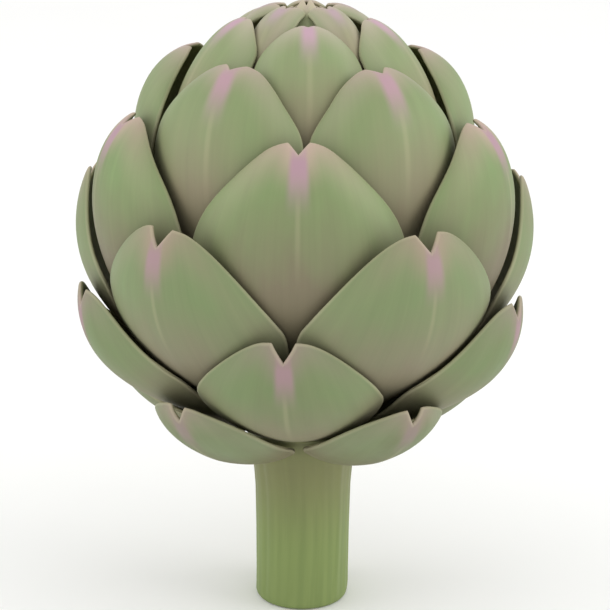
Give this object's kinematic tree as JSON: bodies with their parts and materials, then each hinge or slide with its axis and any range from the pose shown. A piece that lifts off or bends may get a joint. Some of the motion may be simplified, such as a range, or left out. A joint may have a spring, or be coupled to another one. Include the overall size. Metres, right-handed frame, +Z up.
{
  "type": "globe artichoke",
  "caption": "Whole globe artichoke head with overlapping notched green bracts on a short cut stem, standing upright on the cut end.",
  "frame": {"origin": "centre of the flat cut end of the stem", "axes": "+Z up along the stem towards the closed tip; -Y is the front, where one large bract of the fourth ring faces the viewer; +X is the viewer's right"},
  "size_m": [0.1055, 0.1036, 0.1432],
  "materials": {
    "bract": "satin",
    "stem": "satin"
  },
  "bodies": {
    "root": {"stem_and_heart": "stem", "bract_r1_1": "bract", "bract_r1_2": "bract", "bract_r1_3": "bract", "bract_r1_4": "bract", "bract_r1_5": "bract", "bract_r2_1": "bract", "bract_r2_2": "bract", "bract_r2_3": "bract", "bract_r2_4": "bract", "bract_r2_5": "bract", "bract_r3_1": "bract", "bract_r3_2": "bract", "bract_r3_3": "bract", "bract_r3_4": "bract", "bract_r3_5": "bract", "bract_r4_1": "bract", "bract_r4_2": "bract", "bract_r4_3": "bract", "bract_r4_4": "bract", "bract_r4_5": "bract", "bract_r5_1": "bract", "bract_r5_2": "bract", "bract_r5_3": "bract", "bract_r5_4": "bract", "bract_r5_5": "bract", "bract_r6_1": "bract", "bract_r6_2": "bract", "bract_r6_3": "bract", "bract_r6_4": "bract", "bract_r6_5": "bract", "bract_r7_1": "bract", "bract_r7_2": "bract", "bract_r7_3": "bract", "bract_r7_4": "bract", "bract_r7_5": "bract", "bract_r8_1": "bract", "bract_r8_2": "bract", "bract_r8_3": "bract", "bract_r8_4": "bract", "bract_r8_5": "bract", "bract_r9_1": "bract", "bract_r9_2": "bract", "bract_r9_3": "bract", "bract_r9_4": "bract", "bract_r9_5": "bract"}
  },
  "joints": []
}
